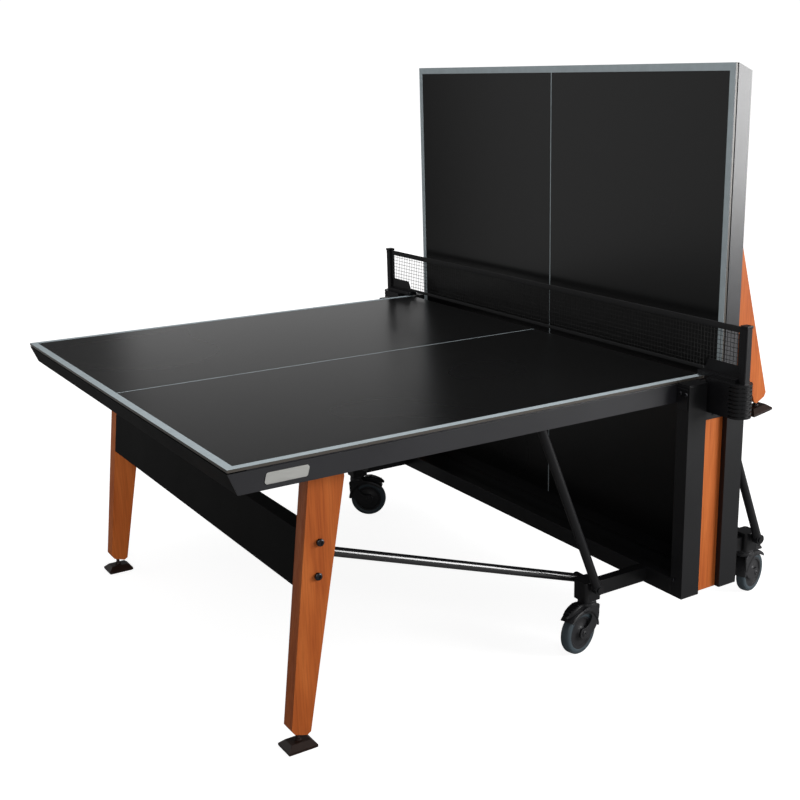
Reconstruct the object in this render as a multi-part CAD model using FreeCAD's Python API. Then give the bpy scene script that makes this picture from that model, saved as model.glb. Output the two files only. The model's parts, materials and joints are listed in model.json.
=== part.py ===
"""Folding table tennis table in its solo position: the left half is level for play and the right
half stands up behind the net. Millimetres, +Z up, the floor is z = 0 and the table's length runs
along X. The net plane is at x = NET_X, so that the origin is in the middle of the footprint.

Both halves, with their legs, struts and tie rods, are drawn once in the "side frame": level pose,
net plane at x = 0 and x growing outwards. The left side is that drawing turned round, and the
right side is that drawing with every piece carried to its raised place.
"""
import FreeCAD, Part
import math
import os

from FreeCAD import Vector

# ---- playing surface and its frame -------------------------------------------------------
TABLE_LENGTH = 2740.0
TABLE_WIDTH = 1525.0
PLAY_HEIGHT = 760.0
BOARD_THICK = 7.0
BOARD_GAP = 3.0               # between a board's inner edge and the net plane
SHADOW_GAP = 3.0              # dark groove between board and apron
APRON_HIGH = 50.0
APRON_DEEP = 25.0
APRON_WALL = 2.0
END_APRON_LEAN = 20.0         # how far the end apron's lower edge is set back
CHEEK = 3.0                   # plate that carries a side apron's face on to the corner
NET_RAIL = (8.0, 33.0)
NET_RAIL_HIGH = 35.0
STIFFENERS = (300.0, 620.0, 1200.0)
STIFFENER_WIDE = 30.0
STIFFENER_HIGH = 28.0
BAR_PIVOT = (170.0, 722.0)    # release bar
BAR_RADIUS = 7.0
BADGE_LONG = 102.0
BADGE_SLANT = 7.0
BADGE_X = 1188.0
BADGE_MARGIN = 12.0           # from the apron's lower and upper edge

# ---- chassis ---------------------------------------------------------------------------
UPRIGHT_X = (40.0, 105.0)
UPRIGHT_Y = (767.0, 812.0)
UPRIGHT_Z = (147.0, 752.0)
UPRIGHT_WALL = 3.0
CAP_THICK = 3.0
LATCH_BOLT_Z = 731.0
CROSSBAR_X = (75.0, 105.0)
CROSSBAR_HIGH = 50.0
PAN_THICK = 3.0
INLAY_FACE_Y = 795.0
INLAY_THICK = 20.0
INLAY_TOP = 646.0
SLOT_WIDE = 17.0
ARM_Y = (640.0, 670.0)
ARM_Z = (155.0, 197.0)
STEM_X = 310.0
STEM_Y = 655.0
SOCKET_HALF_WIDE = 28.0
SOCKET_CORNER = 9.0
SOCKET_Z = (151.0, 208.0)
STEM_HOLE_DEEP = 36.0

# ---- folding mechanism, side frame, level pose: (x, z) of each pivot -----------------------
HALF_PIVOT = (85.0, 735.0)
HALF_DROP = 455.0
LEG_PIVOT = (1085.0, 728.0)
STRUT_TOP = (520.0, 715.0)
STRUT_FOOT = (312.5, 195.0)
ROD_END = (1110.0, 472.0)
ROD_FOOT_X = 306.0
LEG_TURN = 9.0                # how far a raised half's leg has turned, in degrees

PIN_RADIUS = 5.0
RUNNING_FIT = 0.05            # radial clearance of every pin that turns
GUIDE_PIN_RADIUS = 7.0
GUIDE_BLOCK = (56.0, 32.0, 30.0)
STRUT_Y = 702.0
STRUT_RADIUS = 12.5
ROD_Y = 610.0
ROD_RADIUS = 12.0
TUBE_WALL = 2.0
EYE_RADIUS = 15.0
EYE_LONG = 22.0
PLATE = 3.0                   # thickness of bracket plates

# ---- legs ------------------------------------------------------------------------------
LEG_Y = (636.0, 680.0)
LEG_TOP = 745.0
LEG_OUTER = ((1149.0, 660.0), (1225.0, 52.0))
LEG_INNER = ((1056.0, 664.0), (1176.0, 36.0))
LEG_NOSE = 17.0               # radius of the folded-over corner round the leg pivot
SKIRT_Z = (408.0, 545.0)
SKIRT_THICK = 40.0
LEG_BOLTS = ((1127.0, 517.0), (1136.0, 435.0))
BOLT_HEAD_RADIUS = 9.0
BOLT_HEAD_HIGH = 5.0
FOOT_X = 1200.0
FOOT_Y = 658.0
FOOT_SIZE = (76.0, 62.0)
FOOT_HIGH = 22.0
SPINDLE_TOP = 86.0
LEG_CHAMFER = 9.0             # round the foot of a leg

# ---- casters ---------------------------------------------------------------------------
WHEEL_RADIUS = 62.5
WHEEL_WIDE = 30.0
WHEEL_TRAIL = 38.0
AXLE_RADIUS = 6.0
STEM_RADIUS = 10.0
FORK_WALL = 5.0
FORK_GAP = 18.0               # from the wheel's middle plane to a fork cheek
GUARD = (65.5, 68.5)          # inner and outer radius of the cover over the wheel
COLLAR_TOP = 150.0
PEDAL_PIVOT = (30.0, 137.0)
PEDAL_HALF_WIDE = 16.5
PEDAL_PIN_RADIUS = 3.0
CASTERS = {                   # (side, end): the way each wheel trails
    ("left", "near"): (-0.976, -0.216),
    ("left", "far"): (0.82, -0.57),
    ("right", "near"): (0.97, 0.26),
    ("right", "far"): (0.9, -0.4),
}

# ---- net -------------------------------------------------------------------------------
NET_TOP = 912.5
TAPE_WIDE = 17.0
TAPE_THICK = 3.0
NET_THICK = 1.2
NET_BOTTOM = 775.0
POST_Y = (891.0, 914.0)
POST_HALF_WIDE = 11.0
POST_Z = (764.0, 917.0)
NET_ARM_Y = 745.0
NET_ARM_Z = (764.0, 775.0)
NET_ARM_HALF_WIDE = 20.0
END_PLATE_TOP = 809.0
END_PLATE_Y = (756.0, 775.0)  # where its slanted edge starts, at the foot and at the top
COVER_HALF_WIDE = 32.0
COVER_NOSE_Y = 890.0
COVER_Z = (672.0, 764.0)
COVER_RIBS = 8
RIB_PITCH = 11.0
RIB_DEPTH = 3.0

# ---- worked out ------------------------------------------------------------------------
HALF_LONG = TABLE_LENGTH / 2
HALF_WIDE = TABLE_WIDTH / 2
BOARD_BOTTOM = PLAY_HEIGHT - BOARD_THICK
APRON_TOP = BOARD_BOTTOM - SHADOW_GAP
APRON_BOTTOM = APRON_TOP - APRON_HIGH
CASTER_REACH = STEM_X + WHEEL_TRAIL * 0.97 + WHEEL_RADIUS
NET_X = (HALF_LONG - CASTER_REACH) / 2


def swung(point, pivot, degrees):
    """A point (x, z) turned upwards about a pivot (x, z)."""
    dx, dz = point[0] - pivot[0], point[1] - pivot[1]
    c, s = math.cos(math.radians(degrees)), math.sin(math.radians(degrees))
    return pivot[0] + dx * c - dz * s, pivot[1] + dx * s + dz * c


def raised_point(point):
    """Where a point of the level half is once that half is raised."""
    x, z = swung(point, HALF_PIVOT, 90)
    return x, z - HALF_DROP


def raised_leg_point(point):
    """Where a point of the level half's leg is once that half is raised."""
    x, z = swung(point, LEG_PIVOT, LEG_TURN)
    to = raised_point(LEG_PIVOT)
    return x - LEG_PIVOT[0] + to[0], z - LEG_PIVOT[1] + to[1]


def level_with_both(x, first, second):
    """The point at x that is as far from one point as from the other."""
    reach = (second[0] ** 2 + second[1] ** 2 - first[0] ** 2 - first[1] ** 2) / 2
    return x, (reach - (second[0] - first[0]) * x) / (second[1] - first[1])


def turn_between(foot, first, second):
    """The angle at a foot from one point round to another, in degrees."""
    start = math.atan2(first[1] - foot[1], first[0] - foot[0])
    return math.degrees(math.atan2(second[1] - foot[1], second[0] - foot[0]) - start)


ROD_FOOT = level_with_both(ROD_FOOT_X, ROD_END, raised_leg_point(ROD_END))
STRUT_TURN = turn_between(STRUT_FOOT, STRUT_TOP, raised_point(STRUT_TOP))
ROD_TURN = turn_between(ROD_FOOT, ROD_END, raised_leg_point(ROD_END))

NODES = {}


# ---- drawing helpers -------------------------------------------------------------------
def box(xs, ys, zs):
    corner = Vector(xs[0], ys[0], zs[0])
    return Part.makeBox(xs[1] - xs[0], ys[1] - ys[0], zs[1] - zs[0], corner)


def mirrored_y(shape):
    return shape.mirror(Vector(0, 0, 0), Vector(0, 1, 0))


def both_ends(shape):
    """The piece at +Y and its mirror image at -Y."""
    return [shape, mirrored_y(shape)]


def bar(start, end, radius):
    """A round bar between two points."""
    line = Vector(*end) - Vector(*start)
    return Part.makeCylinder(radius, line.Length, Vector(*start), line)


def cross_pin(pivot, y_from, y_to, radius):
    """A round bar along Y through a pivot given as (x, z)."""
    x, z = pivot
    return bar((x, y_from, z), (x, y_to, z), radius)


def prism(outline, y_from, y_to):
    """An outline of (x, z) points, carried along Y."""
    points = [Vector(x, y_from, z) for x, z in outline]
    face = Part.Face(Part.makePolygon(points + points[:1]))
    return face.extrude(Vector(0, y_to - y_from, 0))


def hollow_prism(outline, inner, y_from, y_to):
    return prism(outline, y_from, y_to).cut(prism(inner, y_from - 1, y_to + 1))


def box_tube(xs, ys, zs, wall, along):
    """A rectangular tube, open at both ends along the named axis."""
    inner = [(low + wall, high - wall) for low, high in (xs, ys, zs)]
    low, high = (xs, ys, zs)["xyz".index(along)]
    inner["xyz".index(along)] = (low - 1, high + 1)
    return box(xs, ys, zs).cut(box(*inner))


def on_line(line, z):
    """The x at height z on a line through two (x, z) points."""
    (x0, z0), (x1, z1) = line
    return x0 + (x1 - x0) * (z - z0) / (z1 - z0)


def add(node, *solids):
    NODES.setdefault(node, []).extend(solids)


# ---- carrying a piece from the side frame to its place ---------------------------------------
RAISE = {                     # what turns about which pivot, how far, and where that pivot goes
    "carriage": (HALF_PIVOT, 0, raised_point(HALF_PIVOT)),
    "half": (HALF_PIVOT, 90, raised_point(HALF_PIVOT)),
    "leg": (LEG_PIVOT, LEG_TURN, raised_point(LEG_PIVOT)),
    "strut": (STRUT_TOP, STRUT_TURN, raised_point(STRUT_TOP)),
    "rod": (ROD_END, ROD_TURN, raised_leg_point(ROD_END)),
}


def place(side, group, shape):
    """Left: the drawing turned round. Right: the drawing, raised."""
    moved = shape.copy()
    if side == "left":
        moved.rotate(Vector(0, 0, 0), Vector(0, 0, 1), 180)
        return moved
    pivot, degrees, to = RAISE[group]
    moved.rotate(Vector(pivot[0], 0, pivot[1]), Vector(0, -1, 0), degrees)
    moved.translate(Vector(to[0] - pivot[0], 0, to[1] - pivot[1]))
    return moved


def add_side(side, group, name, solids):
    add(f"{side}_{name}", *[place(side, group, s) for s in solids])


# ---- one half of the table ---------------------------------------------------------------
def board():
    return box((BOARD_GAP, HALF_LONG), (-HALF_WIDE, HALF_WIDE), (BOARD_BOTTOM, PLAY_HEIGHT))


def apron_lip(xs, ys):
    """The strip that carries the board and makes the shadow gap."""
    return box(xs, ys, (APRON_TOP, BOARD_BOTTOM))


def side_aprons():
    ys = (HALF_WIDE - APRON_DEEP, HALF_WIDE)
    end_x = HALF_LONG - END_APRON_LEAN - APRON_DEEP
    xs = (NET_RAIL[1], end_x)
    rail = box_tube(xs, ys, (APRON_BOTTOM, APRON_TOP), APRON_WALL, "x")
    lip = apron_lip(xs, (ys[0] + 4, ys[1] - 4))
    cheek = prism(
        [
            (end_x - CHEEK, APRON_BOTTOM),
            (HALF_LONG - END_APRON_LEAN, APRON_BOTTOM),
            (HALF_LONG, APRON_TOP),
            (end_x - CHEEK, APRON_TOP),
        ],
        HALF_WIDE - CHEEK,
        HALF_WIDE,
    )
    bore = cross_pin(HALF_PIVOT, ys[0] - 1, ys[1] + 1, GUIDE_PIN_RADIUS + RUNNING_FIT)
    return both_ends(rail.fuse([lip, cheek]).removeSplitter().cut(bore))


def end_apron():
    """A tube with an undercut outer face, between the cheeks of the side aprons."""
    foot_x = HALF_LONG - END_APRON_LEAN
    back_x = foot_x - APRON_DEEP
    reach = HALF_WIDE - CHEEK
    outline = [
        (back_x, APRON_BOTTOM),
        (foot_x, APRON_BOTTOM),
        (HALF_LONG, APRON_TOP),
        (back_x, APRON_TOP),
    ]
    w = APRON_WALL
    inner = [
        (back_x + w, APRON_BOTTOM + w),
        (foot_x - 1.2 * w, APRON_BOTTOM + w),
        (HALF_LONG - 1.8 * w, APRON_TOP - w),
        (back_x + w, APRON_TOP - w),
    ]
    tube = hollow_prism(outline, inner, -reach, reach)
    lip = apron_lip((back_x + 4, HALF_LONG - 4), (-HALF_WIDE + 4, HALF_WIDE - 4))
    return [tube.fuse(lip)]


def underframe():
    """The net rail and the stiffeners across the half."""
    inside = HALF_WIDE - APRON_DEEP
    rail_z = (APRON_TOP - NET_RAIL_HIGH, APRON_TOP)
    rail = box_tube(NET_RAIL, (-HALF_WIDE, HALF_WIDE), rail_z, APRON_WALL, "y")
    lip = apron_lip((NET_RAIL[0] + 4, NET_RAIL[1] - 4), (-HALF_WIDE + 4, HALF_WIDE - 4))
    pieces = [rail.fuse(lip)]
    for x in STIFFENERS:
        xs = (x, x + STIFFENER_WIDE)
        zs = (BOARD_BOTTOM - STIFFENER_HIGH, BOARD_BOTTOM)
        pieces.append(box_tube(xs, (-inside, inside), zs, APRON_WALL, "y"))
    return pieces


def fork_bracket(pivot, y_mid, gap, half_long, pin=True):
    """A U of plates under the board, with a pin across it."""
    x, z = pivot
    low_y, high_y = y_mid - gap / 2, y_mid + gap / 2
    base_z = (BOARD_BOTTOM - PLATE, BOARD_BOTTOM)
    xs = (x - half_long, x + half_long)
    shape = box(xs, (low_y - PLATE, high_y + PLATE), base_z)
    for y in (low_y - PLATE, high_y):
        cheek = [(xs[0], base_z[0]), (xs[1], base_z[0]), (x + 13, z - 13), (x - 13, z - 13)]
        shape = shape.fuse(prism(cheek, y, y + PLATE))
    if pin:
        shape = shape.fuse(cross_pin(pivot, low_y - PLATE - 4, high_y + PLATE + 4, PIN_RADIUS))
    return shape


def bar_bearing():
    """The plate that the release bar turns in, against the side apron."""
    x, z = BAR_PIVOT
    ys = (HALF_WIDE - APRON_DEEP - 14, HALF_WIDE - APRON_DEEP)
    block = box((x - 16, x + 16), ys, (z - 16, BOARD_BOTTOM))
    return block.cut(cross_pin(BAR_PIVOT, ys[0] - 1, ys[1] + 1, BAR_RADIUS + RUNNING_FIT))


def brackets():
    leg = fork_bracket(LEG_PIVOT, sum(LEG_Y) / 2, LEG_Y[1] - LEG_Y[0] + 4, 34)
    strut = fork_bracket(STRUT_TOP, STRUT_Y, EYE_LONG + 4, 32)
    return both_ends(leg) + both_ends(strut) + both_ends(bar_bearing())


def release_bar():
    """A bar across the half with a finger lever and a latch hook near each end."""
    x, z = BAR_PIVOT
    end_y = HALF_WIDE - APRON_DEEP - 1
    shape = cross_pin(BAR_PIVOT, -end_y, end_y, BAR_RADIUS)
    lever = [(x - 9, z + 9), (x + 9, z + 9), (x + 52, z - 14), (x + 50, z - 22), (x - 9, z - 11)]
    hook = [(x - 40, z + 4), (x + 10, z + 9), (x + 10, z - 9), (x - 26, z - 7), (x - 40, z - 16)]
    for piece in both_ends(prism(lever, 690, 722)) + both_ends(prism(hook, 672, 680)):
        shape = shape.fuse(piece)
    return [shape]


def badge():
    """A blank name plate with slanted, rounded ends on the apron by the outer corner."""
    low, high = APRON_BOTTOM + BADGE_MARGIN, APRON_TOP - BADGE_MARGIN
    foot = [(BADGE_X, low), (BADGE_X + BADGE_LONG, low)]
    head = [(x - BADGE_SLANT, high) for x, _ in reversed(foot)]
    plate = prism(foot + head, HALF_WIDE, HALF_WIDE + 1.5)
    upright_edges = [e for e in plate.Edges if abs(e.tangentAt(e.FirstParameter).y) > 0.9]
    return [plate.makeFillet(6, upright_edges)]


def guide_blocks():
    """The sliding block in each upright, with the pin that the half turns on."""
    x, z = HALF_PIVOT
    block_x = sum(UPRIGHT_X) / 2
    long, deep, high = GUIDE_BLOCK
    mid_y = sum(UPRIGHT_Y) / 2 - 2.5
    block = box(
        (block_x - long / 2, block_x + long / 2),
        (mid_y - deep / 2, mid_y + deep / 2),
        (z - high / 2, z + high / 2),
    )
    apron_back = HALF_WIDE - APRON_DEEP
    pin = cross_pin((x, z), apron_back - 5, mid_y, GUIDE_PIN_RADIUS)
    washer = cross_pin((x, z), apron_back - 5, apron_back - 1.5, GUIDE_PIN_RADIUS + 5)
    return both_ends(block.fuse([pin, washer]))


# ---- struts and tie rods -----------------------------------------------------------------
def link(closed, opened, y, radius):
    """A tube between two eyes. The closed eye is bored for a pin that another piece holds, and the
    opened one carries a bolt of its own."""
    shape = bar((closed[0], y, closed[1]), (opened[0], y, opened[1]), radius)
    direction = Vector(opened[0] - closed[0], 0, opened[1] - closed[1]).normalize()
    start = Vector(closed[0], y, closed[1]) + direction * EYE_RADIUS * 1.5
    length = math.dist(closed, opened) - EYE_RADIUS * 3
    shape = shape.cut(Part.makeCylinder(radius - TUBE_WALL, length, start, direction))
    for pivot in (closed, opened):
        shape = shape.fuse(cross_pin(pivot, y - EYE_LONG / 2, y + EYE_LONG / 2, EYE_RADIUS))
    bore = cross_pin(closed, y - EYE_LONG, y + EYE_LONG, PIN_RADIUS + RUNNING_FIT)
    shape = shape.cut(bore)
    head = cross_pin(opened, y - EYE_LONG / 2 - 4, y + EYE_LONG / 2 + 4, BOLT_HEAD_RADIUS)
    return shape.fuse(head)


def struts():
    return both_ends(link(STRUT_TOP, STRUT_FOOT, STRUT_Y, STRUT_RADIUS))


def tie_rods():
    return both_ends(link(ROD_END, ROD_FOOT, ROD_Y, ROD_RADIUS))


# ---- legs ----------------------------------------------------------------------------------
def leg():
    """A tapered timber leg, with its inner top corner cut and rounded so that it folds."""
    px, pz = LEG_PIVOT
    outline = [
        LEG_OUTER[1],
        (on_line(LEG_OUTER, LEG_TOP), LEG_TOP),
        (px, LEG_TOP),
        (px, pz),
        (px - LEG_NOSE, pz),
        LEG_INNER[0],
        LEG_INNER[1],
    ]
    shape = prism(outline, *LEG_Y).fuse(cross_pin(LEG_PIVOT, *LEG_Y, LEG_NOSE)).removeSplitter()
    low = [e for e in shape.Edges if e.BoundBox.ZMax < 60 and e.BoundBox.YLength > 30]
    shape = shape.makeChamfer(LEG_CHAMFER, low)
    fit = PIN_RADIUS + RUNNING_FIT
    pin_hole = cross_pin(LEG_PIVOT, LEG_Y[0] - 1, LEG_Y[1] + 1, fit)
    spindle_hole = bar((FOOT_X, FOOT_Y, 20), (FOOT_X, FOOT_Y, SPINDLE_TOP + 4), fit)
    return shape.cut(pin_hole).cut(spindle_hole)


def skirt():
    """The beam between the two legs of a half, leaning with their outer edges."""
    low, high = SKIRT_Z
    wide = LEG_Y[0]
    outer = [(on_line(LEG_OUTER, low), low), (on_line(LEG_OUTER, high), high)]
    outline = outer + [(outer[1][0] - SKIRT_THICK, high), (outer[0][0] - SKIRT_THICK, low)]
    w = APRON_WALL
    inner = [
        (outer[0][0] - w, low + w),
        (outer[1][0] - w, high - w),
        (outer[1][0] - SKIRT_THICK + w, high - w),
        (outer[0][0] - SKIRT_THICK + w, low + w),
    ]
    return [hollow_prism(outline, inner, -wide, wide)]


def leg_bolts():
    """Bolt heads outside the leg, and the pin that the tie rod hangs on."""
    pieces = []
    for pivot in LEG_BOLTS:
        pieces += both_ends(cross_pin(pivot, LEG_Y[1], LEG_Y[1] + BOLT_HEAD_HIGH, BOLT_HEAD_RADIUS))
    pin = cross_pin(ROD_END, ROD_Y - EYE_LONG / 2 - 4, LEG_Y[0], PIN_RADIUS)
    spacer = cross_pin(ROD_END, ROD_Y + EYE_LONG / 2 + 1, LEG_Y[0], PIN_RADIUS + 4)
    return pieces + both_ends(pin.fuse(spacer))


def foot():
    """A bevelled pad on a threaded spindle."""
    long, wide = FOOT_SIZE
    middle = Vector(FOOT_X, FOOT_Y, 0)
    layers = []
    for z, shrink in ((0, 5), (4, 0), (10, 0), (FOOT_HIGH, 13)):
        dx, dy = long / 2 - shrink, wide / 2 - shrink
        corners = [(-dx, -dy), (dx, -dy), (dx, dy), (-dx, dy)]
        points = [middle + Vector(x, y, z) for x, y in corners]
        layers.append(Part.makePolygon(points + points[:1]))
    pad = Part.makeLoft(layers, True, True)
    spindle = bar((FOOT_X, FOOT_Y, FOOT_HIGH - 1), (FOOT_X, FOOT_Y, SPINDLE_TOP), PIN_RADIUS)
    nut = bar((FOOT_X, FOOT_Y, FOOT_HIGH - 1), (FOOT_X, FOOT_Y, FOOT_HIGH + 5), 9)
    return pad.fuse([spindle, nut])


# ---- chassis ---------------------------------------------------------------------------
def four_corners(shape):
    """The piece and its three mirror images."""
    pair = [shape, shape.mirror(Vector(0, 0, 0), Vector(1, 0, 0))]
    return pair + [mirrored_y(s) for s in pair]


def upright():
    tube = box_tube(UPRIGHT_X, UPRIGHT_Y, UPRIGHT_Z, UPRIGHT_WALL, "z")
    x, z = HALF_PIVOT
    half = SLOT_WIDE / 2
    slot_y = (UPRIGHT_Y[0] - 1, UPRIGHT_Y[0] + UPRIGHT_WALL + 1)
    return tube.cut(box((x - half, x + half), slot_y, (z - HALF_DROP - half - 3, z + half + 3)))


def crossbar():
    zs = (UPRIGHT_Z[0], UPRIGHT_Z[0] + CROSSBAR_HIGH)
    return box_tube(CROSSBAR_X, (-UPRIGHT_Y[0], UPRIGHT_Y[0]), zs, UPRIGHT_WALL, "y")


def floor_pan():
    z = UPRIGHT_Z[0]
    inside = CROSSBAR_X[0]
    return box((-inside, inside), (-UPRIGHT_Y[0], UPRIGHT_Y[0]), (z, z + PAN_THICK))


def inlay():
    half_wide = UPRIGHT_X[0]
    ys = (INLAY_FACE_Y - INLAY_THICK, INLAY_FACE_Y)
    return box((-half_wide, half_wide), ys, (UPRIGHT_Z[0], INLAY_TOP))


def column_head():
    """The steel plate between two uprights above the timber inlay."""
    half_wide = UPRIGHT_X[0]
    ys = (INLAY_FACE_Y - INLAY_THICK, INLAY_FACE_Y + 3)
    return box((-half_wide, half_wide), ys, (INLAY_TOP, UPRIGHT_Z[1]))


def column_cap():
    plate = box(UPRIGHT_X, UPRIGHT_Y, (UPRIGHT_Z[1], UPRIGHT_Z[1] + CAP_THICK))
    inset = UPRIGHT_WALL + 0.5
    plug_x = (UPRIGHT_X[0] + inset, UPRIGHT_X[1] - inset)
    plug_y = (UPRIGHT_Y[0] + inset, UPRIGHT_Y[1] - inset)
    return plate.fuse(box(plug_x, plug_y, (UPRIGHT_Z[1] - 1, UPRIGHT_Z[1])))


def caster_arm():
    xs = (CROSSBAR_X[1], STEM_X - SOCKET_HALF_WIDE)
    return box_tube(xs, ARM_Y, ARM_Z, UPRIGHT_WALL, "x")


def caster_socket():
    """The block that holds a caster's stem. Strut and rod are bolted to its flat sides."""
    half = SOCKET_HALF_WIDE
    block = box((STEM_X - half, STEM_X + half), (STEM_Y - half, STEM_Y + half), SOCKET_Z)
    block = block.makeFillet(SOCKET_CORNER, [e for e in block.Edges if e.BoundBox.ZLength > 1])
    block = block.makeFillet(2, [e for e in block.Edges if e.BoundBox.ZMin > SOCKET_Z[1] - 1])
    low, high = SOCKET_Z[0] - 1, SOCKET_Z[0] + STEM_HOLE_DEEP
    return block.cut(bar((STEM_X, STEM_Y, low), (STEM_X, STEM_Y, high), STEM_RADIUS + RUNNING_FIT))


def lock_housing():
    """The latch plate near the top of an upright."""
    xs = (UPRIGHT_X[1], UPRIGHT_X[1] + PLATE)
    return box(xs, (UPRIGHT_Y[0] + 4, UPRIGHT_Y[1] - 4), (APRON_BOTTOM - 12, UPRIGHT_Z[1] - 8))


def chassis_bolts():
    pieces = []
    y = sum(UPRIGHT_Y) / 2 + 5
    x = UPRIGHT_X[1] + PLATE
    for dy in (-10, 10):
        bolt = bar((x, y + dy, LATCH_BOLT_Z), (x + 3, y + dy, LATCH_BOLT_Z), 4.5)
        pieces += four_corners(bolt)
    low_y = UPRIGHT_Y[0] + 14
    pieces += four_corners(bar((UPRIGHT_X[1], low_y, ARM_Z[1]), (UPRIGHT_X[1] + 3, low_y, ARM_Z[1]), 4.5))
    return pieces


# ---- net -------------------------------------------------------------------------------
def net_post():
    post = box((-POST_HALF_WIDE, POST_HALF_WIDE), POST_Y, POST_Z)
    return post.makeFillet(4, [e for e in post.Edges if e.BoundBox.ZLength > 50])


def net_arm():
    half = NET_ARM_HALF_WIDE
    arm = box((-half, half), (NET_ARM_Y, POST_Y[0]), NET_ARM_Z)
    tip = [e for e in arm.Edges if e.BoundBox.YMax < NET_ARM_Y + 1 and e.BoundBox.ZLength > 1]
    return arm.makeFillet(12, tip)


def end_plate():
    """A plain plate that closes the net's lower corner, with a slanted inner edge."""
    foot_y, top_y = END_PLATE_Y
    low, high = NET_ARM_Z[1], END_PLATE_TOP
    corners = [(foot_y, low), (POST_Y[0], low), (POST_Y[0], high), (top_y, high)]
    points = [Vector(-1.5, y, z) for y, z in corners]
    return Part.Face(Part.makePolygon(points + points[:1])).extrude(Vector(3, 0, 0))


def post_cover():
    """A ribbed cover under the net post with a round nose."""
    z0, z1 = COVER_Z
    body = box((-COVER_HALF_WIDE, COVER_HALF_WIDE), (INLAY_FACE_Y + 3, COVER_NOSE_Y), COVER_Z)
    body = body.fuse(bar((0, COVER_NOSE_Y, z0), (0, COVER_NOSE_Y, z1), COVER_HALF_WIDE))
    inset = COVER_HALF_WIDE - RIB_DEPTH
    for i in range(COVER_RIBS):
        z = z1 - 6 - i * RIB_PITCH
        groove = bar((0, COVER_NOSE_Y, z - 4), (0, COVER_NOSE_Y, z), COVER_HALF_WIDE + 1)
        groove = groove.cut(bar((0, COVER_NOSE_Y, z - 4), (0, COVER_NOSE_Y, z), inset))
        nose_side = box((-60, 60), (COVER_NOSE_Y - 18, COVER_NOSE_Y + 60), (z - 5, z + 1))
        body = body.cut(groove.common(nose_side))
    return body.removeSplitter()


def net():
    """The net as one thin sheet: full height over the table, and above the end plates beyond it."""
    top = NET_TOP - TAPE_WIDE
    half = NET_THICK / 2
    foot_y, top_y = END_PLATE_Y
    edge = [(foot_y, NET_BOTTOM), (top_y, END_PLATE_TOP), (POST_Y[0], END_PLATE_TOP), (POST_Y[0], top)]
    corners = edge + [(-y, z) for y, z in reversed(edge)]
    points = [Vector(-half, y, z) for y, z in corners]
    return [Part.Face(Part.makePolygon(points + points[:1])).extrude(Vector(NET_THICK, 0, 0))]


def net_tape():
    """The band along the top edge."""
    half = TAPE_THICK / 2
    return [box((-half, half), (-POST_Y[0], POST_Y[0]), (NET_TOP - TAPE_WIDE, NET_TOP))]


# ---- casters: drawn with the stem at the origin, trailing along +X ------------------------------
def wheel():
    hub = (WHEEL_TRAIL, WHEEL_RADIUS)
    tyre = cross_pin(hub, -WHEEL_WIDE / 2, WHEEL_WIDE / 2, WHEEL_RADIUS)
    tyre = tyre.makeFillet(7, [e for e in tyre.Edges if e.BoundBox.YLength < 1])
    return tyre.cut(cross_pin(hub, -WHEEL_WIDE, WHEEL_WIDE, AXLE_RADIUS + RUNNING_FIT))


def wheel_sector(inner, outer, from_deg, to_deg, y_from, y_to):
    """A stretch of a ring round the wheel's axle."""
    def at(radius, degrees):
        x, z = radius * math.cos(math.radians(degrees)), radius * math.sin(math.radians(degrees))
        return Vector(WHEEL_TRAIL + x, y_from, WHEEL_RADIUS + z)

    middle = (from_deg + to_deg) / 2
    edges = [
        Part.Arc(at(outer, from_deg), at(outer, middle), at(outer, to_deg)).toShape(),
        Part.LineSegment(at(outer, to_deg), at(inner, to_deg)).toShape(),
        Part.Arc(at(inner, to_deg), at(inner, middle), at(inner, from_deg)).toShape(),
        Part.LineSegment(at(inner, from_deg), at(outer, from_deg)).toShape(),
    ]
    return Part.Face(Part.Wire(edges)).extrude(Vector(0, y_to - y_from, 0))


def fork():
    """Stem, collar, a cover over the wheel and a curved cheek on each side down to the axle."""
    x, z = WHEEL_TRAIL, WHEEL_RADIUS
    edge = FORK_GAP + FORK_WALL
    shape = bar((0, 0, SOCKET_Z[0] - 12), (0, 0, SOCKET_Z[0] + 32), STEM_RADIUS)
    collar = Part.makeCone(21, 25, COLLAR_TOP - 122, Vector(0, 0, 122))
    keep_out = cross_pin((x, z), -edge, edge, GUARD[0])
    pieces = [
        collar.cut(keep_out),
        wheel_sector(GUARD[0], GUARD[1], 55, 172, -edge, edge),
        cross_pin((x, z), -edge, edge, AXLE_RADIUS),
    ]
    arm_line = [(-20, 124), (22, 131), (x + 14, z + 4), (x + 4, z - 15), (x - 16, z - 12), (-26, 92)]
    for y in (-edge, FORK_GAP):
        pieces.append(prism(arm_line, y, y + FORK_WALL))
        pieces.append(cross_pin((x, z), y, y + FORK_WALL, 15))
        pieces.append(cross_pin(PEDAL_PIVOT, y, y + FORK_WALL, 8))
    pieces.append(cross_pin(PEDAL_PIVOT, -edge, edge, PEDAL_PIN_RADIUS))
    return shape.fuse(pieces).removeSplitter()


def pedal():
    """The brake pedal, a tongue over the back of the wheel cover."""
    x, z = PEDAL_PIVOT
    outline = [
        (x - 3, z + 8),
        (x + 24, z + 10),
        (x + 67, z - 8),
        (x + 66, z - 16),
        (x + 44, z - 9.5),
        (x + 20, z + 1.5),
        (x - 3, z - 5),
    ]
    tongue = prism(outline, -PEDAL_HALF_WIDE, PEDAL_HALF_WIDE)
    half = PEDAL_HALF_WIDE + 1
    return tongue.cut(cross_pin(PEDAL_PIVOT, -half, half, PEDAL_PIN_RADIUS + RUNNING_FIT))


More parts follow.
